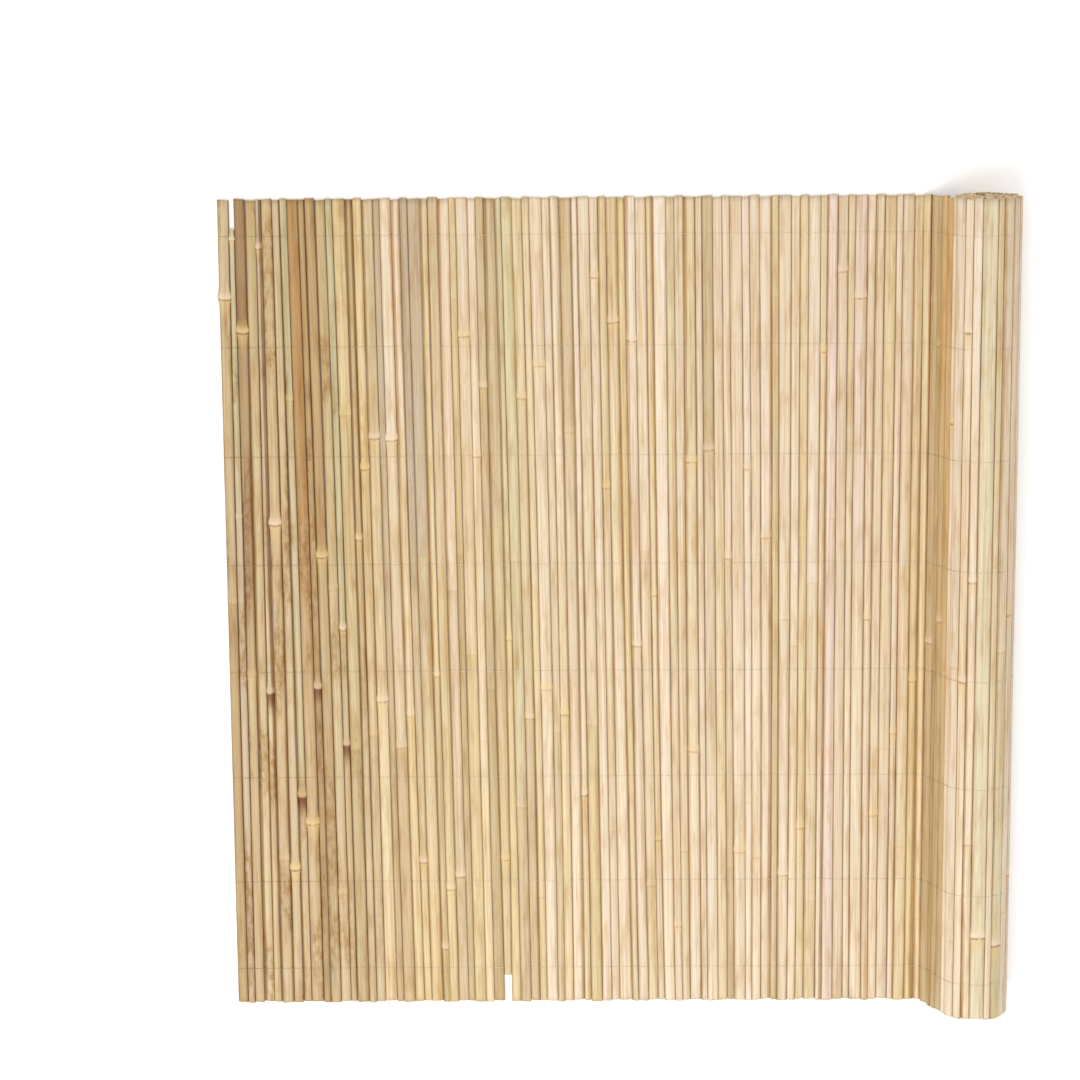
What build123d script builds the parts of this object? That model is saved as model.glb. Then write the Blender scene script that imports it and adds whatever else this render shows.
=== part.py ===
from build123d import *
import math
import os

os.makedirs("parts", exist_ok=True)

# Driving dimensions in mm and degrees
slat_length = 1000.0
slat_width = 10.7
width_scatter = 3.2
slat_thickness = 4.2
split_side = 3.0
slat_gap = 0.5
end_scatter = 2.0
culm_count = 31
node_every = 2
late_slat = 1
late_start = 35.0
short_slat = 29
short_by = 33.0
broad_slat = 84
broad_width = 16.5
node_rise = 0.5
node_length = 7.0
node_reach = 380.0
node_scatter = 60.0
wire = 0.6
wire_play = 0.05
row_pitch = 133.0
edge_row = 45.0
flat_run = 833.0
lift_angle = 66.0
lift_radius = 28.0
roll_radius = 38.0
core_radius = 11.0
roll_creep = 3.0

# Sizes that follow from them
turn_pitch = slat_thickness + 2 * wire + 4 * wire_play
lift = math.radians(lift_angle)
ramp_rise = roll_radius - turn_pitch / 2 + slat_thickness + wire_play
ramp_rise += (roll_radius + turn_pitch / 2) * math.cos(lift) - lift_radius * (1 - math.cos(lift))
ramp = ramp_rise / math.sin(lift)
reach = (lift_radius + roll_radius) * math.sin(lift) + ramp * math.cos(lift)
reach += roll_radius + slat_thickness + wire
left_edge = -(flat_run + reach) / 2
low_end = -(slat_length + roll_creep) / 2
golden = math.pi * (3 - math.sqrt(5))

# The sheet's back line from the free edge to the core, as lengths and bends
flat_to_roll = [(flat_run, 0.0), (lift_radius * lift, 1 / lift_radius), (ramp, 0.0)]
turns = [(math.pi * roll_radius, -1 / roll_radius)]
turn_radius = roll_radius - turn_pitch / 2
while turn_radius > core_radius:
    turns.append((math.pi * turn_radius, -1 / turn_radius))
    turn_radius -= turn_pitch / 2
sheet = flat_to_roll + turns
roll_start = sum(length for length, bend in flat_to_roll)
sheet_length = roll_start + sum(length for length, bend in turns)


def at(along):
    x = left_edge
    z = wire
    heading = 0.0
    for length, bend in sheet:
        step = min(along, length)
        if bend:
            x += (math.sin(heading + bend * step) - math.sin(heading)) / bend
            z += (math.cos(heading) - math.cos(heading + bend * step)) / bend
            heading += bend * step
        else:
            x += step * math.cos(heading)
            z += step * math.sin(heading)
        along -= step
        if along <= 0:
            break
    return x, z, heading


def off(along, height):
    x, z, heading = at(along)
    return x - height * math.sin(heading), z + height * math.cos(heading)


# Half of a slat's share of the sheet: bent slats meet at their back or skin corners
def half_run(width, along):
    for length, bend in sheet:
        if along <= length:
            break
        along -= length
    if not bend:
        return width / 2
    corner = split_side if bend > 0 else 0.0
    return math.atan(width / 2 * abs(bend) / (1 - corner * bend)) / abs(bend)


# Slats split from culms, skin side out
def section(width, crown):
    half = width / 2
    back = Line((-half, 0), (half, 0))
    right = Line((half, 0), (half, split_side))
    skin = ThreePointArc((half, split_side), (0, crown), (-half, split_side))
    left = Line((-half, split_side), (-half, 0))
    return make_face([back, right, skin, left])


def strip(width, crown, along, top, length):
    x, z, heading = at(along)
    across = (math.cos(heading), 0, math.sin(heading))
    end = Plane(origin=(x, top, z), x_dir=across, z_dir=(0, -1, 0))
    return extrude(end * section(width, crown), amount=length)


row_count = int((slat_length - 2 * edge_row) / row_pitch) + 1
rows = [low_end + slat_length - edge_row - row_pitch * n for n in range(row_count)]
rows.append(low_end + edge_row)


# Slats of one culm lie a little up or down of each other; the late slat starts at its node
def node_height(slat, culm):
    clear = node_length / 2 + 2 * wire
    if slat == late_slat:
        return rows[0] - clear
    height = low_end + slat_length / 2 + node_reach * math.cos(golden * culm)
    height -= node_scatter * math.sin(golden * slat / node_every)
    for row in rows:
        if abs(height - row) < clear:
            height = row + clear
    return height


places = []
reached = 0.0
while True:
    width = slat_width + width_scatter * math.cos(golden * len(places))
    if len(places) == broad_slat:
        width = broad_width
    middle = reached + half_run(width, reached)
    reached = middle + half_run(width, middle) + slat_gap
    if reached > sheet_length:
        break
    places.append((middle, width))

outer_turn = roll_start + turns[0][0] + turns[1][0] / 2
culms = {}
for slat, (along, width) in enumerate(places):
    creep = roll_creep * max(0.0, along - roll_start) / (sheet_length - roll_start)
    culm = slat * culm_count // len(places)
    top = low_end + slat_length + creep - end_scatter * (1 + math.sin(golden * slat)) / 2
    low = low_end + creep + end_scatter * (1 + math.sin(2 * golden * slat)) / 2
    if slat == late_slat:
        top -= late_start
    if slat == short_slat:
        low += short_by
    body = strip(width, slat_thickness, along, top, top - low)
    if along < outer_turn and (slat % node_every == 0 or slat == late_slat):
        ring_top = node_height(slat, culm) + node_length / 2
        body += strip(width, slat_thickness + node_rise, along, ring_top, node_length)
    culms.setdefault(culm, []).append(body)
for culm, bodies in culms.items():
    export_step(Compound(children=bodies), f"parts/split_culm_{culm + 1:02d}.step")

# Front strands over the skin, closed down over the free edge
def line_at(height, start, stop):
    edges = []
    begin = 0.0
    for length, bend in sheet:
        a = max(start, begin)
        b = min(stop, begin + length)
        begin += length
        if b <= a:
            continue
        if bend:
            edges.append(ThreePointArc(off(a, height), off((a + b) / 2, height), off(b, height)))
        else:
            edges.append(Line(off(a, height), off(b, height)))
    return edges


under = slat_thickness + wire_play
over = under + wire
strand_end = roll_start + turns[0][0] + turns[1][0] * (180 - lift_angle) / 360
edge_in = left_edge - wire_play
edge_out = edge_in - wire
closing = [off(0, under), (edge_in, wire + under), (edge_in, wire), (edge_out, wire)]
closing += [(edge_out, wire + over), off(0, over)]
outline = line_at(under, 0, strand_end) + line_at(over, 0, strand_end)
outline.append(Line(off(strand_end, under), off(strand_end, over)))
outline += [Line(a, b) for a, b in zip(closing, closing[1:])]
front = extrude(Plane.XZ * make_face(outline), amount=wire)

# Back strands under the flat run
back_run = flat_run - (slat_width + width_scatter) / 2 + left_edge - edge_out
back = Box(back_run, wire, wire - wire_play, align=(Align.MIN, Align.MAX, Align.MIN))

for number, row in enumerate(rows, 1):
    export_step(Pos(0, row + wire / 2, 0) * front, f"parts/front_wire_{number}.step")
    export_step(Pos(edge_out, row + wire / 2, 0) * back, f"parts/back_wire_{number}.step")
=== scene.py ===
import math
import random

import bpy
import numpy as np
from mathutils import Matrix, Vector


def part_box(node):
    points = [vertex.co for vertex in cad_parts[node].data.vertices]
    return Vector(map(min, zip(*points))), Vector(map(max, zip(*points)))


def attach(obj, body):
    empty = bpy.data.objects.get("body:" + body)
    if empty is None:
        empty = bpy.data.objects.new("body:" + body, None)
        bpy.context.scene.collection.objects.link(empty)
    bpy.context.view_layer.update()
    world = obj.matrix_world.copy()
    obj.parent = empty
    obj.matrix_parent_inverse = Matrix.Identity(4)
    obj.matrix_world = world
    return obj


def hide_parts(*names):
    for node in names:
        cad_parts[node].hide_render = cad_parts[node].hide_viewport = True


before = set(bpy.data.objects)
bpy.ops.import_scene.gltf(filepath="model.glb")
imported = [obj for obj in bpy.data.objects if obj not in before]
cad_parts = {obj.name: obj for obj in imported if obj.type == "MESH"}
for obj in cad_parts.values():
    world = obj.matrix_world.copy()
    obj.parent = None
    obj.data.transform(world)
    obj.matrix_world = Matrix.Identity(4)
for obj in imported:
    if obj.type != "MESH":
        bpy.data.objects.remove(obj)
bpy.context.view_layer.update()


# Split slats: strips riven from bamboo culms, flat on the pith side, rounded on the waxy skin side.
# Each lies where its solid lies in the frame, which gives its place, width, thickness and two ends.
# Each culm's slats lie a little up or down of each other, so their node rings scatter.
mm = 0.001
half_length = 500 * mm
slat_gap = 0.5 * mm
broad_from = 15 * mm
ring_margin = 8 * mm
same_point = 1e-6
# Slats stay a hair under the crown of their solids, so that the wire has its room there.
under_crown = 0.985


# A culm's solids come as loose triangles: those that share corners make one slat.
def loose_solids(mesh):
    points = np.empty(len(mesh.vertices) * 3)
    mesh.vertices.foreach_get("co", points)
    grid = np.round(points.reshape(-1, 3) / same_point)
    corners, place = np.unique(grid, axis=0, return_inverse=True)
    place = place.ravel()
    triangles = np.array([[place[v] for v in face.vertices] for face in mesh.polygons])
    label = np.arange(len(corners))
    while True:
        least = label[triangles].min(axis=1)
        before = label.copy()
        for side in range(3):
            np.minimum.at(label, triangles[:, side], least)
        if (label == before).all():
            return [corners[label == one] * same_point for one in np.unique(label)]


slats = []
for culm in sorted(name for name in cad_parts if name.startswith("split_culm")):
    for solid in loose_solids(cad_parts[culm].data):
        heights = solid[:, 1]
        low, top = heights.min(), heights.max()
        end = solid[heights < low + 10 * same_point][:, [0, 2]]
        lie = np.linalg.svd(end - end.mean(axis=0), full_matrices=False)[2][0]
        up = np.array([-lie[1], lie[0]])
        rise = end @ up
        if np.median(rise) < (rise.max() + rise.min()) / 2:
            lie, up, rise = -lie, -up, -rise
        across = end @ lie
        rings = heights[(heights > low + ring_margin) & (heights < top - ring_margin)]
        slats.append({
            "culm": culm, "lie": lie, "up": up, "low": low, "top": top,
            "place": lie * (across.max() + across.min()) / 2 + up * rise.min(),
            "width": across.max() - across.min(),
            "thick": (rise.max() - rise.min()) * under_crown,
            "ring": float(rings.mean()) if len(rings) else None,
        })

# From the free edge into the roll: each slat is followed by the one whose near edge is closest.
loose = sorted(slats, key=lambda slat: slat["place"][0])
slats = [loose.pop(0)]
while loose:
    edge = slats[-1]["place"] + slats[-1]["lie"] * slats[-1]["width"] / 2
    loose.sort(
        key=lambda slat: np.linalg.norm(slat["place"] - slat["lie"] * slat["width"] / 2 - edge)
    )
    slats.append(loose.pop(0))

# Dried bamboo: cream and peach where the sun bleached it, tan, olive and brown where it stayed damp.
# The darker tones also serve as painted shade on the slope up to the roll.
tones = {
    "pale": "#F5E2C9", "cream": "#F1DDBF", "peach": "#EDD7B9", "rose": "#F1DBCA",
    "straw": "#E8D2A8", "gold": "#E4CC9A", "sage": "#E0D3AA", "sand": "#D9C299",
    "olive": "#CDB586", "tan": "#D2B88C", "mauve": "#CEB899", "ochre": "#D9B67F",
    "brown": "#C0A271", "umber": "#AC895C", "rust": "#BE945A", "moss": "#CFC297",
    "green": "#E8DAB8",
}
# Up to this X in metres, how often each tone is found.
zones = (
    (-0.345, {
        "tan": 4, "brown": 2, "sand": 5, "olive": 3,
        "mauve": 2, "umber": 1, "rust": 2, "moss": 4,
    }),
    (-0.20, {
        "sand": 4, "peach": 3, "straw": 3, "tan": 3, "gold": 2,
        "mauve": 2, "cream": 1, "olive": 2, "moss": 2,
    }),
    (-0.05, {"straw": 4, "cream": 3, "gold": 3, "sand": 2, "peach": 2, "olive": 1, "sage": 1}),
    (0.20, {"cream": 5, "peach": 4, "straw": 3, "gold": 2, "pale": 2, "sand": 1}),
    (0.352, {"cream": 5, "peach": 5, "straw": 3, "pale": 2, "rose": 2, "gold": 1}),
    (0.372, {"sand": 2, "straw": 3, "gold": 1}),
    # On the slope up to the roll the tones are darker: painted shade of the crease where the sheet
    # rises.
    (0.397, {"tan": 3, "olive": 2, "ochre": 3, "brown": 2, "gold": 1}),
    (9.0, {"cream": 5, "peach": 3, "pale": 4, "rose": 1, "straw": 1, "sage": 1}),
)


# An sRGB hex value as linear light, at full or at another level.
def linear(code, level=1.0):
    shares = [int(code[i:i + 2], 16) / 255 for i in (1, 3, 5)]
    light = [c / 12.92 if c <= 0.04045 else ((c + 0.055) / 1.055) ** 2.4 for c in shares]
    return (*(c * level for c in light), 1.0)


def between(value, start, stop):
    return min(1.0, max(0.0, (value - start) / (stop - start)))


def ease(value, start, stop):
    share = between(value, start, stop)
    return share * share * (3 - 2 * share)


# The sheet was wound a little askew: slats lean to the right going down, most left of the middle.
# For a run from the free edge in metres: the slat's shift, lean and bow at its ends.
def stray(run):
    lean = -7.0 * ease(run, 0.01, 0.16) * (1 - ease(run, 0.50, 0.76))
    lean += 0.9 * math.sin(run / 0.021) * ease(run, 0.01, 0.05)
    bow = 1.2 * math.sin(run / 0.043 + 2.0) * ease(run, 0.01, 0.06)
    return np.array([-0.33 * bow, lean, bow]) * mm * (1 - ease(run, 0.76, 0.83))


# Nodes scorched when the culms were straightened over a flame: slat from the free edge, height in mm.
scorched = {4: -106, 7: -237, 9: -100, 12: -172}
# Slats beside a missing end lean into it: slat, side it leans to, end of the slat, way in mm.
leaning = {
    0: (1, 1, 1.7), 1: (0, 1, 1.7), 2: (-1, 1, 1.7),
    28: (1, -1, 3.2), 29: (0, -1, 3.2), 30: (-1, -1, 3.2),
}
# Shares of its width that a slat lacks at the skin: wide gaps on the weathered end, then tight ones.
wide_gaps = (0.03, 0.06, 0.10, 0.17, 0.27, 0.38)
tight_gaps = (0.0, 0.01, 0.03, 0.05, 0.08, 0.13, 0.22)
wide_gaps_end = 0.17
# Backs are a hair wider than their solids, so that neighbours touch, but the first slat is trimmed.
snug = 1.025
edge_trim = 2.0 * mm
# Proud domes on the weathered end, faint yellow bands in the middle, thin brown rings on the roll:
# up to this run in metres, how far a ring stands out and how dark its marks are.
ring_kinds = ((0.13, 1.0, 1.0), (0.24, 0.6, 0.8), (0.90, 0.36, 0.6), (9.0, 0.22, 1.0))
room_over_ring = 22 * mm
room_under_ring = 34 * mm

chance = random.Random(4)
step = 5 * mm
run = 0.0
for count, slat in enumerate(slats):
    run += slat["width"] / 2
    spread = (stray(run + step) - stray(run - step)) / (2 * step)
    spare = chance.choice(wide_gaps if run < wide_gaps_end else tight_gaps)
    swing = chance.choice((-1, -0.6, 0.6, 1)) * spare
    slat["bend"] = stray(run)
    slat["lack"] = (spare, swing, -0.4 * spare if abs(swing) < 0.8 * spare else 0.0)
    slip = chance.choice((-1, 1)) * slat["width"] / 2
    slat["slip"] = (chance.uniform(0, 1) * spare * slip, chance.uniform(0, 1) * swing * slip, 0.0)
    run += slat["width"] / 2 + slat_gap
    slat["seed"] = chance.uniform(0, 90)
    slat["skew"] = chance.uniform(-0.5, 0.5) * mm
    low, top = slat["low"] + abs(slat["skew"]), slat["top"] - abs(slat["skew"])
    slat["low"] = low

    # Where the sheet bends, skins open out or close up by half the turn between the neighbours.
    before = slats[max(0, count - 1)]["lie"]
    after = slats[min(len(slats) - 1, count + 1)]["lie"]
    turn = math.atan2(before[1], before[0]) - math.atan2(after[1], after[0])
    turn = (turn + math.pi) % (2 * math.pi) - math.pi
    slat["flare"] = turn / 2 * slat["thick"] / (slat["width"] + slat_gap)
    spread = spread + np.array([snug + max(0.0, -slat["flare"]), 0.0, 0.0])
    if count == 0:
        spread[0] -= edge_trim / slat["width"]
        slat["bend"] += np.array([edge_trim / 2, 0.0, 0.0])
    if count in leaning:
        toward, end, way = leaning[count]
        near_end = np.array([0.0, end / 2, 0.5]) * way * mm
        slat["bend"] += toward / 2 * near_end
        spread += (near_end if toward else -2 * near_end) / slat["width"]
    slat["spread"] = spread

    # Two rings: the solid's own, if it has one, and a fainter one an internode away.
    ringed = slat["ring"] is not None
    first = slat["ring"] if ringed else chance.uniform(-0.42, 0.42)
    second = first - math.copysign(chance.uniform(300, 430), first) * mm
    if count in scorched:
        second = scorched[count] * mm
    dome, ink = next(kind for limit, *kind in ring_kinds if run < limit)
    main = chance.uniform(0.75, 1.0) if ringed else chance.choice((0.1, 0.2, 0.35))
    faint = chance.choice((0.1, 0.15, 0.3, 0.8))
    scorch = 1.0 if count in scorched else 0.0
    rings = sorted([(first, main, 0.0), (second, max(scorch, faint), scorch)])
    slat["marks"] = (rings[0][0] - low, rings[1][0] - low, top - low)
    slat["knots"] = (rings[0][1] * dome, rings[1][1] * dome, 0.0)
    slat["inks"] = (rings[0][1] * ink, rings[1][1] * ink, 0.0)
    slat["burns"] = (rings[0][2], rings[1][2], 0.0)
    over, under = top - rings[1][0], rings[0][0] - low
    slat["tight"] = min(1.0, over / room_over_ring, under / room_under_ring)
    # Weight of the weathered end: it drives real damp stains on the skin and painted shade on the
    # split sides in the gaps.
    slat["grime"] = 1 - ease(run, 0.09, 0.26)

    weights = next(mix for limit, mix in zones if slat["place"][0] < limit)
    for side in ("tone_low", "tone_top"):
        pick = chance.choices(list(weights), list(weights.values()))[0]
        if slat["width"] > broad_from:
            pick = "green"
        slat[side] = linear(tones[pick], chance.uniform(0.94, 1.02))

# The blank slat: a closed strip whose rows gather at the two node rings and spread between them.
# Its outline is in shares of the half width and of the thickness.
skin_half = (
    (1.0, 0.42), (1.0, 0.54), (0.975, 0.66), (0.90, 0.78),
    (0.75, 0.885), (0.50, 0.96), (0.25, 0.99), (0.0, 1.0),
)
outline = [(-0.94, 0.0), (0.0, 0.03), (0.94, 0.0), (1.0, 0.10), *skin_half]
outline += [(-a, r) for a, r in skin_half[-2::-1]] + [(-1.0, 0.10)]
ring_rows = (
    # step in mm, then the shares of swelling, scar, wax, stain and the change of tone at the ring
    (-28, 0.00, 0.0, 0.0, 0.0, 0.0),
    (-19, 0.02, 0.0, 0.0, 0.3, 0.0),
    (-11, 0.06, 0.0, 0.0, 0.8, 0.0),
    (-5, 0.20, 0.0, 0.0, 1.0, 0.0),
    (-2.4, 0.48, 0.0, 0.1, 1.0, 0.0),
    (-1.1, 0.64, 0.5, 0.0, 1.0, 0.0),
    (-0.2, 0.64, 1.0, 0.0, 1.0, 0.1),
    (0.7, 0.80, 0.6, 0.3, 0.8, 0.4),
    (1.8, 0.95, 0.1, 0.9, 0.5, 0.5),
    (3.8, 1.00, 0.0, 1.0, 0.3, 0.5),
    (6.5, 0.74, 0.0, 0.8, 0.2, 0.5),
    (10, 0.26, 0.0, 0.3, 0.1, 0.5),
    (18, 0.00, 0.0, 0.0, 0.0, 0.5),
)
# Each row: shares of the lower ring, the upper ring and the top end in its height, then as above.
foot, head = ring_rows[0][0], ring_rows[-1][0]
rows = [(t, 0, 0, foot * t, 0, 0, 0, 0, 0) for t in (0.0, 0.02, 0.25, 0.5, 0.75)]
rows += [(1, 0, 0, *ring) for ring in ring_rows]
rows += [
    (1 - t, t, 0, head + (foot - head) * t, 0, 0, 0, 0, 0.5) for t in (0.2, 0.4, 0.6, 0.8)
]
rows += [(0, 1, 0, *ring[:5], 0.5 + ring[5]) for ring in ring_rows]
rows += [(0, 1 - t, t, head * (1 - t), 0, 0, 0, 0, 1) for t in (0.25, 0.5, 0.75, 0.98, 1.0)]

around = len(outline)
corners = [(a * 5 * mm, k * 20 * mm, r * 4 * mm) for k in range(len(rows)) for a, r in outline]
faces = []
for k in range(len(rows) - 1):
    for p in range(around):
        q = (p + 1) % around
        upper, lower = (k + 1) * around, k * around
        faces.append((upper + p, upper + q, lower + q, lower + p))
sides = len(faces)
faces.append(tuple(range(around)))
faces.append(tuple(range(len(corners) - 1, len(corners) - around - 1, -1)))
blank_mesh = bpy.data.meshes.new("slat_blank")
blank_mesh.from_pydata(corners, [], faces)
blank_mesh.polygons.foreach_set("use_smooth", [True] * sides + [False] * 2)
per_corner = {
    "share": [value for row in rows for _ in outline for value in row[0:3]],
    "step": [row[3] * mm for row in rows for _ in outline],
    "swell": [row[4] for row in rows for _ in outline],
    "ring_marks": [value for row in rows for _ in outline for value in row[5:8]],
    "length_of_culm": [row[8] for row in rows for _ in outline],
    "across": [a for _ in rows for a, _ in outline],
    "rise": [r for _ in rows for _, r in outline],
    "shoulder": [between(r, 0.48, 0.60) for _ in rows for _, r in outline],
    "skin": [between(r, 0.58, 0.80) for _ in rows for _, r in outline],
}
for name, values in per_corner.items():
    three = name in ("share", "ring_marks")
    layer = blank_mesh.attributes.new(name, "FLOAT_VECTOR" if three else "FLOAT", "POINT")
    layer.data.foreach_set("vector" if three else "value", values)
cut = blank_mesh.attributes.new("cut", "FLOAT", "FACE")
cut.data.foreach_set("value", [0.0] * sides + [1.0] * 2)
blank = bpy.data.objects.new("slat_blank", blank_mesh)


# Adds one node with its settings, and links or sets its inputs.
def node(tree, kind, links=(), **settings):
    made = tree.nodes.new(kind)
    for name, value in settings.items():
        setattr(made, name, value)
    for key, value in dict(links).items():
        named = [s for s in made.inputs if s.enabled and s.name == key]
        socket = named[0] if named else made.inputs[key]
        if isinstance(value, bpy.types.NodeSocket):
            tree.links.new(value, socket)
        else:
            socket.default_value = value
    return next((s for s in made.outputs if s.enabled), None)


# One slat per point: the blank is set on it, then drawn out to the slat's own length, lean and taper.
maths, vectors, mixed = "ShaderNodeMath", "ShaderNodeVectorMath", "ShaderNodeMix"
slat_tree = bpy.data.node_groups.new("split slats", "GeometryNodeTree")
for label, kind in (
    ("Points", "Geometry"), ("Blank", "Object"), ("Ring rise", "Float"), ("Ring sag", "Float"),
    ("Ring spread", "Float"), ("Edge waver", "Float"), ("Wavers per metre", "Float"),
    ("Seed", "Float"), ("Bamboo", "Material"),
):
    slat_tree.interface.new_socket(label, in_out="INPUT", socket_type="NodeSocket" + kind)
slat_tree.interface.new_socket("Slats", in_out="OUTPUT", socket_type="NodeSocketGeometry")
given = slat_tree.nodes.new("NodeGroupInput").outputs
field = {
    name: node(slat_tree, "GeometryNodeInputNamedAttribute", {"Name": name}, data_type=kind)
    for kind, names in (
        ("FLOAT_VECTOR", (
            "share", "place", "lie", "up", "marks", "knots", "inks", "burns",
            "bend", "spread", "lack", "slip",
        )),
        ("FLOAT", (
            "step", "swell", "across", "rise", "low", "width", "thick", "seed",
            "skew", "flare", "tight", "shoulder",
        )),
    ) for name in names
}
info = node(slat_tree, "GeometryNodeObjectInfo", {"Object": given["Blank"]}).node
laid = node(slat_tree, "GeometryNodeInstanceOnPoints", {
    "Points": given["Points"], "Instance": info.outputs["Geometry"],
})
laid = node(slat_tree, "GeometryNodeRealizeInstances", {"Geometry": laid})

# Height along the slat, with its skewed ends and the sag of each ring.
at_ring = {
    name: node(slat_tree, vectors, {0: field["share"], 1: field[name]}, operation="DOT_PRODUCT")
    for name in ("marks", "knots", "inks", "burns")
}
level = node(slat_tree, maths, {0: at_ring["marks"], 1: field["low"]}, operation="ADD")
level = node(
    slat_tree, maths, {0: field["step"], 1: field["tight"], 2: level}, operation="MULTIPLY_ADD"
)
level = node(
    slat_tree, maths, {0: field["across"], 1: field["skew"], 2: level}, operation="MULTIPLY_ADD"
)
knot = node(slat_tree, maths, {0: at_ring["knots"], 1: field["swell"]}, operation="MULTIPLY")
sag = node(slat_tree, maths, {0: field["across"], 1: field["across"]}, operation="MULTIPLY")
sag = node(slat_tree, maths, {0: sag, 1: 0.5}, operation="SUBTRACT")
sag = node(slat_tree, maths, {0: sag, 1: given["Ring sag"]}, operation="MULTIPLY")
level = node(slat_tree, maths, {0: sag, 1: knot, 2: level}, operation="MULTIPLY_ADD")

# Way across at that height: lean, bow and taper from the middle, wavering edges, wider at the rings.
reach = node(slat_tree, maths, {0: level, 1: half_length}, operation="DIVIDE")
reach_2 = node(slat_tree, maths, {0: reach, 1: reach}, operation="MULTIPLY")
powers = node(slat_tree, "ShaderNodeCombineXYZ", {"X": 1.0, "Y": reach, "Z": reach_2})
along = {
    name: node(slat_tree, vectors, {0: powers, 1: field[name]}, operation="DOT_PRODUCT")
    for name in ("bend", "spread", "lack", "slip")
}
lack = node(slat_tree, maths, {0: along["lack"], 1: field["shoulder"]}, operation="MULTIPLY")
slim = node(slat_tree, maths, {0: along["spread"], 1: lack}, operation="SUBTRACT")
aside = node(
    slat_tree, maths, {0: along["slip"], 1: field["shoulder"], 2: along["bend"]},
    operation="MULTIPLY_ADD",
)
own = node(slat_tree, maths, {0: field["seed"], 1: given["Seed"]}, operation="ADD")
own_line = node(slat_tree, "ShaderNodeCombineXYZ", {"X": own, "Y": level, "Z": 0.0})
waver = node(slat_tree, "ShaderNodeTexNoise", {
    "Vector": own_line, "Scale": given["Wavers per metre"], "Detail": 2.0,
})
waver = node(slat_tree, maths, {0: waver, 1: 0.5}, operation="SUBTRACT")
waver = node(slat_tree, maths, {0: waver, 1: given["Edge waver"]}, operation="MULTIPLY")
wide = node(
    slat_tree, maths, {0: knot, 1: given["Ring spread"], 2: slim}, operation="MULTIPLY_ADD"
)
wide = node(slat_tree, maths, {0: wide, 1: field["width"]}, operation="MULTIPLY")
wide = node(slat_tree, maths, {0: wide, 1: 0.5}, operation="MULTIPLY")
flare = node(
    slat_tree, maths, {0: field["flare"], 1: field["rise"], 2: 1.0}, operation="MULTIPLY_ADD"
)
wide = node(slat_tree, maths, {0: wide, 1: flare}, operation="MULTIPLY")
thread = node(slat_tree, maths, {0: field["across"], 1: wide}, operation="MULTIPLY")
side = node(slat_tree, maths, {0: thread, 1: aside}, operation="ADD")
side = node(slat_tree, maths, {0: side, 1: waver}, operation="ADD")
deep = node(
    slat_tree, maths, {0: knot, 1: given["Ring rise"], 2: field["thick"]}, operation="MULTIPLY_ADD"
)
deep = node(slat_tree, maths, {0: field["rise"], 1: deep}, operation="MULTIPLY")

spot = node(slat_tree, "ShaderNodeCombineXYZ", {"X": 0.0, "Y": level, "Z": 0.0})
spot = node(slat_tree, vectors, {0: field["place"], 1: spot}, operation="ADD")
for way, length in (("lie", side), ("up", deep)):
    shift = node(slat_tree, vectors, {"Vector": field[way], "Scale": length}, operation="SCALE")
    spot = node(slat_tree, vectors, {0: spot, 1: shift}, operation="ADD")
laid = node(slat_tree, "GeometryNodeSetPosition", {"Geometry": laid, "Position": spot})
grain = node(slat_tree, "ShaderNodeCombineXYZ", {"X": thread, "Y": level, "Z": field["seed"]})
for name, value, kind in (
    ("grain", grain, "FLOAT_VECTOR"), ("show", at_ring["inks"], "FLOAT"),
    ("scorch", at_ring["burns"], "FLOAT"),
):
    laid = node(
        slat_tree, "GeometryNodeStoreNamedAttribute",
        {"Geometry": laid, "Name": name, "Value": value}, data_type=kind, domain="POINT",
    )
laid = node(slat_tree, "GeometryNodeSetMaterial", {"Geometry": laid, "Material": given["Bamboo"]})
node(slat_tree, "NodeGroupOutput", {"Slats": laid})

# Split bamboo: a hard waxy skin with a satin sheen over long fibres; the split sides have their own
# duller colour, darkened with painted shade of the gaps. The eye gets fine lengthwise streaks, slow
# drifts of tone, mottled stains on the weathered end, brown scars at the rings and dotted cut ends.
# Painted shade also darkens the outer edges of each skin, and painted light brightens the cut ends.
# Real fibres and their dots are too fine to show in the render, so both are drawn about 1 mm wide.
bamboo = bpy.data.materials.new("split_bamboo_skin")
bamboo.use_nodes = True
skin_tree = bamboo.node_tree
skin_tree.nodes.clear()
kept = {
    name: node(skin_tree, "ShaderNodeAttribute", attribute_name=name).node.outputs
    for name in (
        "tone_low", "tone_top", "grain", "ring_marks", "length_of_culm", "show", "scorch",
        "grime", "across", "skin", "cut",
    )
}
thread = kept["grain"]["Vector"]
patterns = {
    # mm across and along the slat, step between slats, detail and roughness of the noise,
    # then the stretch of the noise that counts and the two shares that it is turned into
    "drift": (30, 160, 1.0, 3.0, 0.5, 0.52, 0.60, 0.0, 1.0),
    "cloud": (9, 55, 7.0, 4.0, 0.6, 0.50, 0.80, 0.0, 0.75),
    "band": (3.6, 210, 19.0, 3.0, 0.6, 0.46, 0.72, 0.0, 0.7),
    "streak": (1.1, 80, 37.0, 3.0, 0.6, 0.32, 0.68, 0.84, 1.09),
    "fleck": (1.6, 7, 53.0, 2.0, 0.5, 0.70, 0.80, 0.0, 0.55),
    "mottle": (6, 14, 29.0, 3.0, 0.65, 0.42, 0.62, 0.2, 0.9),
    "scar": (2.5, 4, 11.0, 2.0, 0.5, 0.36, 0.56, 0.2, 1.0),
}
noise, share = {}, {}
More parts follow.
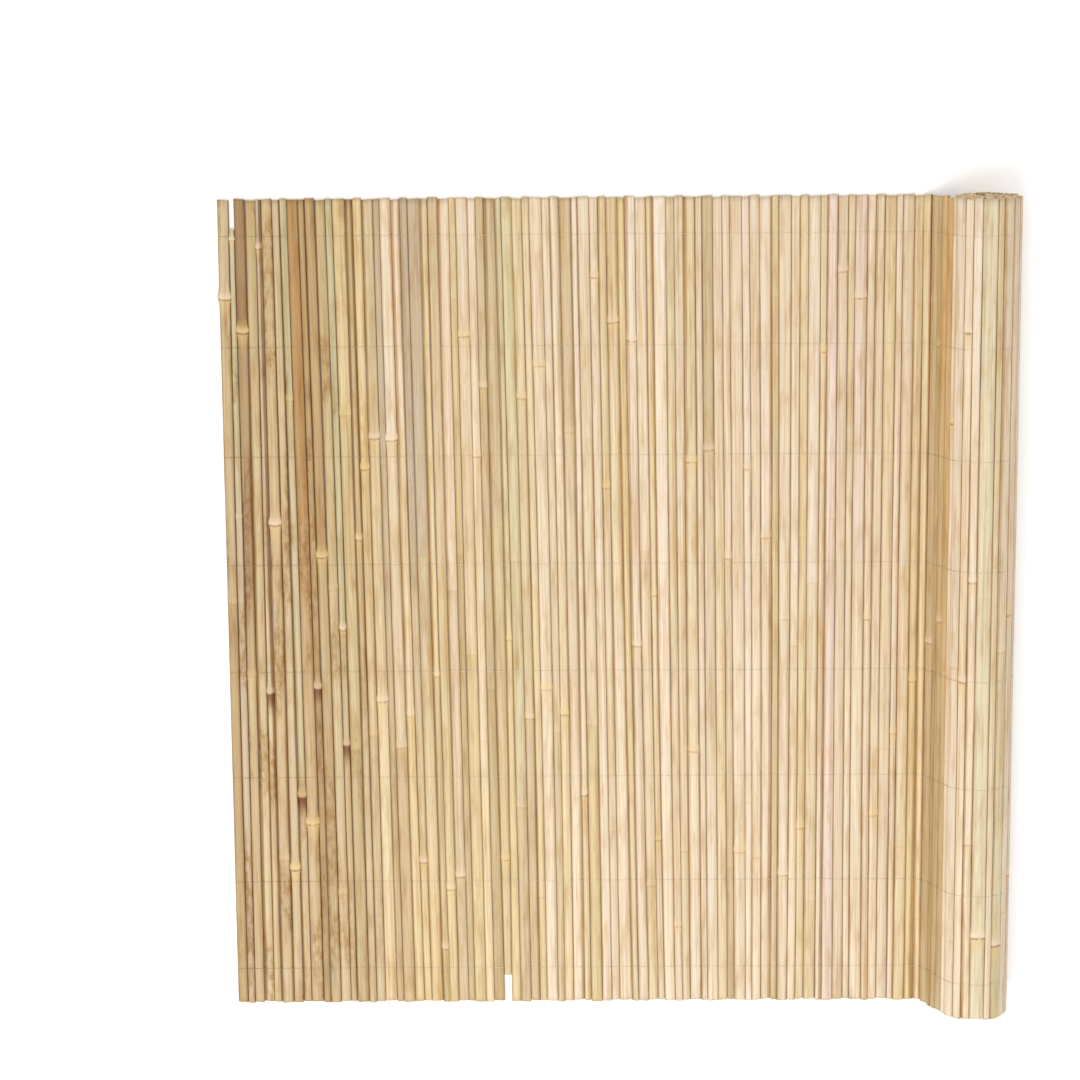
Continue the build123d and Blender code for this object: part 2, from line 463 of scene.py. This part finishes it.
for name, (wide, long, step, detail, rough, start, stop, least, most) in patterns.items():
    scale = (1 / (wide * mm), 1 / (long * mm), step)
    place = node(skin_tree, "ShaderNodeMapping", {"Vector": thread, "Scale": scale})
    noise[name] = node(skin_tree, "ShaderNodeTexNoise", {
        "Vector": place, "Scale": 1.0, "Detail": detail, "Roughness": rough,
    })
    share[name] = node(skin_tree, "ShaderNodeMapRange", {
        "Value": noise[name], "From Min": start, "From Max": stop, "To Min": least, "To Max": most,
    })

# Tone of the culm: one below the rings, one above, drifting into each other.
height = node(skin_tree, "ShaderNodeSeparateXYZ", {"Vector": thread}).node.outputs["Y"]
height = node(skin_tree, "ShaderNodeMapRange", {
    "Value": height, "From Min": -half_length, "From Max": half_length,
    "To Min": -0.9, "To Max": -0.2,
})
height = node(skin_tree, maths, {0: noise["drift"], 1: 1.1, 2: height}, operation="MULTIPLY_ADD")
height = node(
    skin_tree, maths, {0: kept["length_of_culm"]["Fac"], 1: height}, operation="ADD", use_clamp=True
)
colour = node(skin_tree, mixed, {
    "Factor": height, "A": kept["tone_low"]["Color"], "B": kept["tone_top"]["Color"],
}, data_type="RGBA")

# Over it clouds, bands, streaks and flecks, then damp stains, and painted shade that darkens the
# outer edges of each skin.
damp = node(skin_tree, maths, {0: share["drift"], 1: kept["grime"]["Fac"]}, operation="MULTIPLY")
damp = node(skin_tree, maths, {0: share["mottle"], 1: damp}, operation="MULTIPLY")
# Painted shade: towards both edges of each slat the skin is multiplied darker, where a rounder slat
# would turn away from the light.
painted_edge_shade = node(skin_tree, maths, {0: kept["across"]["Fac"]}, operation="ABSOLUTE")
painted_edge_shade = node(skin_tree, "ShaderNodeMapRange", {
    "Value": painted_edge_shade, "From Min": 0.60, "From Max": 1.0, "To Max": 0.30,
})
for amount, shade in ((share["cloud"], "#D9BF8C"), (share["band"], "#DFC48E")):
    colour = node(skin_tree, mixed, {
        "Factor": amount, "A": colour, "B": linear(shade),
    }, data_type="RGBA", blend_type="MULTIPLY")
colour = node(skin_tree, vectors, {"Vector": colour, "Scale": share["streak"]}, operation="SCALE")
colour = node(skin_tree, mixed, {
    "Factor": share["fleck"], "A": colour, "B": linear("#A9824E"),
}, data_type="RGBA")
for amount, shade in ((damp, "#D0B47E"), (painted_edge_shade, "#C4A480")):
    colour = node(skin_tree, mixed, {
        "Factor": amount, "A": colour, "B": linear(shade),
    }, data_type="RGBA", blend_type="MULTIPLY")

# At the rings a yellow stain, a waxy dome of the slat's own colour, a broken brown scar, a scorch.
marks = node(skin_tree, "ShaderNodeSeparateXYZ", {"Vector": kept["ring_marks"]["Vector"]})
marks = marks.node.outputs
own = node(skin_tree, "ShaderNodeSeparateXYZ", {"Vector": thread}).node.outputs["Z"]
own = node(skin_tree, maths, {0: own, 1: 3.7}, operation="MULTIPLY")
own = node(skin_tree, maths, {0: own}, operation="SINE")
own = node(skin_tree, "ShaderNodeMapRange", {"Value": own, "From Min": -0.3, "From Max": 0.7})
wax = node(skin_tree, mixed, {
    "Factor": own, "A": linear("#F4D9BC"), "B": linear("#EACC86"),
}, data_type="RGBA")
for mark, shade, amount in (
    ("Z", linear("#DDB96C"), 0.42), ("Y", wax, 0.75), ("X", linear("#8A5A34"), share["scar"]),
):
    strength = node(skin_tree, maths, {0: marks[mark], 1: kept["show"]["Fac"]}, operation="MULTIPLY")
    strength = node(
        skin_tree, maths, {0: strength, 1: amount}, operation="MULTIPLY", use_clamp=True
    )
    colour = node(skin_tree, mixed, {"Factor": strength, "A": colour, "B": shade}, data_type="RGBA")
patch = node(skin_tree, "ShaderNodeMapRange", {
    "Value": noise["drift"], "From Min": 0.3, "From Max": 0.6, "To Min": 0.8,
})
scorch = node(skin_tree, maths, {0: marks["Z"], 1: kept["scorch"]["Fac"]}, operation="MULTIPLY")
scorch = node(skin_tree, maths, {0: scorch, 1: patch}, operation="MULTIPLY", use_clamp=True)
colour = node(skin_tree, mixed, {
    "Factor": scorch, "A": colour, "B": linear("#743F16"),
}, data_type="RGBA")

# Split sides below the skin: their own streaky colour, multiplied darker as painted shade of the gaps
# between the slats, with more painted shade on the weathered end.
split_side_and_gap_shade = node(skin_tree, mixed, {
    "Factor": noise["streak"], "A": linear("#DACBB4"), "B": linear("#FAF0E0"),
}, data_type="RGBA")
split_side_and_gap_shade = node(skin_tree, mixed, {
    "Factor": kept["grime"]["Fac"], "A": split_side_and_gap_shade, "B": linear("#DCD2CA"),
}, data_type="RGBA", blend_type="MULTIPLY")
split_side_and_gap_shade = node(skin_tree, mixed, {
    "Factor": 1.0, "A": colour, "B": split_side_and_gap_shade,
}, data_type="RGBA", blend_type="MULTIPLY")
colour = node(skin_tree, mixed, {
    "Factor": kept["skin"]["Fac"], "A": split_side_and_gap_shade, "B": colour,
}, data_type="RGBA")

# Sawn ends: ripe yellow flesh with the brown dots of the fibre bundles. The yellow is made brighter
# as painted light, since the lamp hardly reaches these end faces.
place = node(skin_tree, "ShaderNodeTexCoord").node.outputs["Object"]
ripe_flesh_and_painted_light = node(skin_tree, "ShaderNodeTexNoise", {"Vector": place, "Scale": 1 / (8 * mm), "Detail": 1.0})
ripe_flesh_and_painted_light = node(skin_tree, "ShaderNodeMapRange", {"Value": ripe_flesh_and_painted_light, "From Min": 0.35, "From Max": 0.65})
ripe_flesh_and_painted_light = node(skin_tree, mixed, {
    "Factor": ripe_flesh_and_painted_light, "A": linear("#FFE286"), "B": linear("#FBC472"),
}, data_type="RGBA")
bundle = node(skin_tree, "ShaderNodeTexVoronoi", {"Vector": place, "Scale": 1 / (1.1 * mm)})
bundle = node(skin_tree, "ShaderNodeMapRange", {
    "Value": bundle, "From Min": 0.16, "From Max": 0.27, "To Min": 1.0, "To Max": 0.0,
})
dotted = node(skin_tree, mixed, {
    "Factor": bundle, "A": ripe_flesh_and_painted_light, "B": linear("#9A6A36"),
}, data_type="RGBA")
colour = node(skin_tree, mixed, {
    "Factor": kept["cut"]["Fac"], "A": colour, "B": dotted,
}, data_type="RGBA")

gloss = node(skin_tree, "ShaderNodeMapRange", {
    "Value": share["cloud"], "To Min": 0.40, "To Max": 0.62,
})
ridge = node(skin_tree, "ShaderNodeBump", {
    "Height": noise["streak"], "Strength": 0.35, "Distance": 0.15 * mm,
})
shade = node(skin_tree, "ShaderNodeBsdfPrincipled", {
    "Base Color": colour, "Roughness": gloss, "Normal": ridge, "IOR": 1.45,
})
node(skin_tree, "ShaderNodeOutputMaterial", {"Surface": shade})


# A piece that a tree of nodes makes from its points or its line, kept as a plain mesh.
def grow(name, start, tree, sizes):
    piece = bpy.data.objects.new(name, start)
    bpy.context.collection.objects.link(piece)
    growing = piece.modifiers.new("growing", "NODES")
    growing.node_group = tree
    for item in tree.interface.items_tree:
        if item.in_out == "INPUT" and item.name in sizes:
            growing[item.identifier] = sizes[item.name]
    state = bpy.context.evaluated_depsgraph_get()
    made = bpy.data.meshes.new_from_object(
        piece.evaluated_get(state), preserve_all_data_layers=True, depsgraph=state
    )
    piece.modifiers.clear()
    piece.data = made
    return piece


slat_sizes = {
    "Blank": blank, "Ring rise": 2.0 * mm, "Ring sag": 1.8 * mm, "Ring spread": 0.40,
    "Edge waver": 0.9 * mm, "Wavers per metre": 9.0, "Seed": 3.0, "Bamboo": bamboo,
}
for culm in sorted({slat["culm"] for slat in slats}):
    group = [slat for slat in slats if slat["culm"] == culm]
    points = bpy.data.meshes.new(culm + "_places")
    points.from_pydata([(s["place"][0], 0.0, s["place"][1]) for s in group], [], [])
    for name in ("place", "lie", "up"):
        values = [v for s in group for v in (s[name][0], 0.0, s[name][1])]
        points.attributes.new(name, "FLOAT_VECTOR", "POINT").data.foreach_set("vector", values)
    for kind, key, names in (
        ("FLOAT_VECTOR", "vector", ("marks", "knots", "inks", "burns")),
        ("FLOAT_VECTOR", "vector", ("bend", "spread", "lack", "slip")),
        ("FLOAT_COLOR", "color", ("tone_low", "tone_top")),
    ):
        for name in names:
            values = [v for s in group for v in s[name]]
            points.attributes.new(name, kind, "POINT").data.foreach_set(key, values)
    for name in ("low", "width", "thick", "seed", "skew", "flare", "tight", "grime"):
        values = [s[name] for s in group]
        points.attributes.new(name, "FLOAT", "POINT").data.foreach_set("value", values)
    piece = grow("slats_" + culm[-2:], points, slat_tree, slat_sizes)
    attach(piece, "root")
    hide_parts(culm)


# Binding wire: eight rows of two thin galvanised strands, one over the skins and one under the backs.
# In every gap the strands cross once round each other, so each slat sits in a closed loop of wire.
wire = 0.54 * mm
wire_play = 0.01 * mm
wire_tree = bpy.data.node_groups.new("binding strand", "GeometryNodeTree")
for label, kind in (("Line", "Geometry"), ("Radius", "Float"), ("Zinc", "Material")):
    wire_tree.interface.new_socket(label, in_out="INPUT", socket_type="NodeSocket" + kind)
wire_tree.interface.new_socket("Strand", in_out="OUTPUT", socket_type="NodeSocketGeometry")
given = wire_tree.nodes.new("NodeGroupInput").outputs
line = node(wire_tree, "GeometryNodeMeshToCurve", {"Mesh": given["Line"]})
circle = node(wire_tree, "GeometryNodeCurvePrimitiveCircle", {
    "Resolution": 6, "Radius": given["Radius"],
})
strand = node(wire_tree, "GeometryNodeCurveToMesh", {
    "Curve": line, "Profile Curve": circle, "Fill Caps": True,
})
strand = node(wire_tree, "GeometryNodeSetShadeSmooth", {"Geometry": strand})
strand = node(wire_tree, "GeometryNodeRealizeInstances", {"Geometry": strand})
strand = node(wire_tree, "GeometryNodeSetMaterial", {
    "Geometry": strand, "Material": given["Zinc"],
})
node(wire_tree, "NodeGroupOutput", {"Strand": strand})

# Galvanised steel wire: dull zinc, drawn smooth. The eye gets chalky spots on a thin pale line,
# browned towards the free edge, where it lay in the weather.
zinc = bpy.data.materials.new("galvanised_wire")
zinc.use_nodes = True
zinc_tree = zinc.node_tree
zinc_tree.nodes.clear()
place = node(zinc_tree, "ShaderNodeTexCoord").node.outputs["Object"]
bloom = node(zinc_tree, "ShaderNodeTexNoise", {"Vector": place, "Scale": 1 / (6 * mm), "Detail": 3.0})
colour = node(zinc_tree, mixed, {
    "Factor": bloom, "A": linear("#CDBFA8"), "B": linear("#EADCC6"),
}, data_type="RGBA")
edge = node(zinc_tree, "ShaderNodeSeparateXYZ", {"Vector": place})
edge = node(zinc_tree, "ShaderNodeMapRange", {
    "Value": edge, "From Min": -0.44, "From Max": -0.18, "To Min": 1.0, "To Max": 0.0,
})
colour = node(zinc_tree, mixed, {
    "Factor": edge, "A": colour, "B": linear("#D2BE9E"),
}, data_type="RGBA", blend_type="MULTIPLY")
rough = node(zinc_tree, "ShaderNodeMapRange", {"Value": bloom, "To Min": 0.32, "To Max": 0.55})
shade = node(zinc_tree, "ShaderNodeBsdfPrincipled", {
    "Base Color": colour, "Roughness": rough, "Metallic": 1.0,
})
node(zinc_tree, "ShaderNodeOutputMaterial", {"Surface": shade})

# A strand's way over or under each slat, in shares of its half width and thickness, and the crossing.
over_crown = ((-0.9, 0.81), (-0.6, 0.945), (0.0, 1.0), (0.6, 0.945), (0.9, 0.81))
under_back = ((-0.9, 0.0), (0.9, 0.0))
crossing, crossing_rise = 0.80, 0.12
for row in range(1, 9):
    for side, sign, way in (("front", 1, over_crown), ("back", -1, under_back)):
        cad = side + "_wire_" + str(row)
        level = sum(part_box(cad)[i][1] for i in (0, 1)) / 2
        power = np.array([1.0, level / half_length, (level / half_length) ** 2])
        crossed = []
        for slat in slats:
            middle = slat["place"] + slat["lie"] * float(power @ slat["bend"])
            half = slat["lie"] * (slat["width"] / 2 * float(power @ slat["spread"]))
            crossed.append((middle, half, slat))
        path = []
        for count, (middle, half, slat) in enumerate(crossed):
            thick = slat["thick"]
            for out, tall in way:
                lift = slat["up"] * (thick * tall + sign * (wire / 2 + wire_play))
                spot = middle + half * out + lift
                path.append((spot[0], level, max(spot[1], wire / 2)))
            if count + 1 < len(crossed):
                after_middle, after_half, after = crossed[count + 1]
                gap = (middle + half + (after_middle - after_half)) / 2
                gap = gap + (slat["up"] + after["up"]) / 2 * thick * crossing
                twist = sign * (1 if count % 2 else -1) * wire / 2
                for shift, rise in ((-twist, crossing_rise), (twist, -crossing_rise)):
                    spot = gap + slat["up"] * thick * rise * sign
                    path.append((spot[0], level + shift, max(spot[1], wire / 2)))
        drawn = bpy.data.meshes.new(cad + "_line")
        drawn.from_pydata(path, [(k, k + 1) for k in range(len(path) - 1)], [])
        sizes = {"Radius": wire / 2, "Zinc": zinc}
        piece = grow(side + "_strand_" + str(row), drawn, wire_tree, sizes)
        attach(piece, "root")
        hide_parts(cad)


# The floor that the sheet lies on: matt white paper board that keeps the soft shadow of the slats.
# It shows white to the eye and bounces a little less than it shows, as board does.
floor_half = 6.0
floor_level = -0.3 * mm
board = bpy.data.materials.new("white_board")
board.use_nodes = True
board_tree = board.node_tree
board_tree.nodes.clear()
rays = node(board_tree, "ShaderNodeLightPath").node.outputs
shows = node(
    board_tree, maths, {0: rays["Is Camera Ray"], 1: rays["Is Glossy Ray"]}, operation="MAXIMUM"
)
colour = node(board_tree, mixed, {
    "Factor": shows, "A": linear("#CECBC7"), "B": linear("#FFFFFF"),
}, data_type="RGBA")
matt = node(board_tree, "ShaderNodeBsdfDiffuse", {"Color": colour})
lift = node(board_tree, maths, {0: shows, 1: 0.23}, operation="MULTIPLY")
lift = node(board_tree, "ShaderNodeEmission", {"Color": linear("#FFFFFF"), "Strength": lift})
shade = node(board_tree, "ShaderNodeAddShader", {0: matt, 1: lift})
node(board_tree, "ShaderNodeOutputMaterial", {"Surface": shade})
floor_mesh = bpy.data.meshes.new("floor")
floor_corners = [
    (x * floor_half, y * floor_half, floor_level) for x, y in ((-1, -1), (1, -1), (1, 1), (-1, 1))
]
floor_mesh.from_pydata(floor_corners, [], [(0, 1, 2, 3)])
floor_mesh.materials.append(board)
floor = bpy.data.objects.new("floor", floor_mesh)
bpy.context.collection.objects.link(floor)

# Light: one wide soft lamp high over the near corner of the free edge, so near ends are brightest,
# and an even white sky that fills the grooves and shows white behind the far edge of the board.
lamp = bpy.data.lights.new("soft_lamp", "AREA")
lamp.shape = "RECTANGLE"
lamp.size, lamp.size_y = 3.0, 3.0
lamp.energy = 74.0
lamp_object = bpy.data.objects.new("soft_lamp", lamp)
lamp_object.location = (-1.1, -1.8, 3.4)
lamp_object.rotation_euler = (math.radians(27), math.radians(-17), 0)
bpy.context.collection.objects.link(lamp_object)
world = bpy.context.scene.world or bpy.data.worlds.new("sky")
bpy.context.scene.world = world
world.use_nodes = True
sky_tree = world.node_tree
sky = sky_tree.nodes["Background"].inputs
sky["Color"].default_value = linear("#FFFFFF")
rays = node(sky_tree, "ShaderNodeLightPath").node.outputs
seen = node(
    sky_tree, maths, {0: rays["Is Camera Ray"], 1: rays["Is Glossy Ray"]}, operation="MAXIMUM"
)
seen = node(sky_tree, "ShaderNodeMapRange", {"Value": seen, "To Min": 0.77, "To Max": 1.0})
sky_tree.links.new(seen, sky["Strength"])

# Camera: a long lens that looks almost straight down on the sheet, as the photograph does.
# Its place and turn were fitted to the corners of the sheet there.
eye = bpy.data.cameras.new("camera")
eye.lens = 100.0
eye.sensor_width = 36.0
camera = bpy.data.objects.new("camera", eye)
camera.location = (-0.05753, 0.7447, 3.57889)
camera.rotation_euler = [math.radians(a) for a in (-10.4759, 0.4992, -0.4674)]
bpy.context.collection.objects.link(camera)
bpy.context.scene.camera = camera
bpy.context.scene.view_settings.view_transform = "Standard"
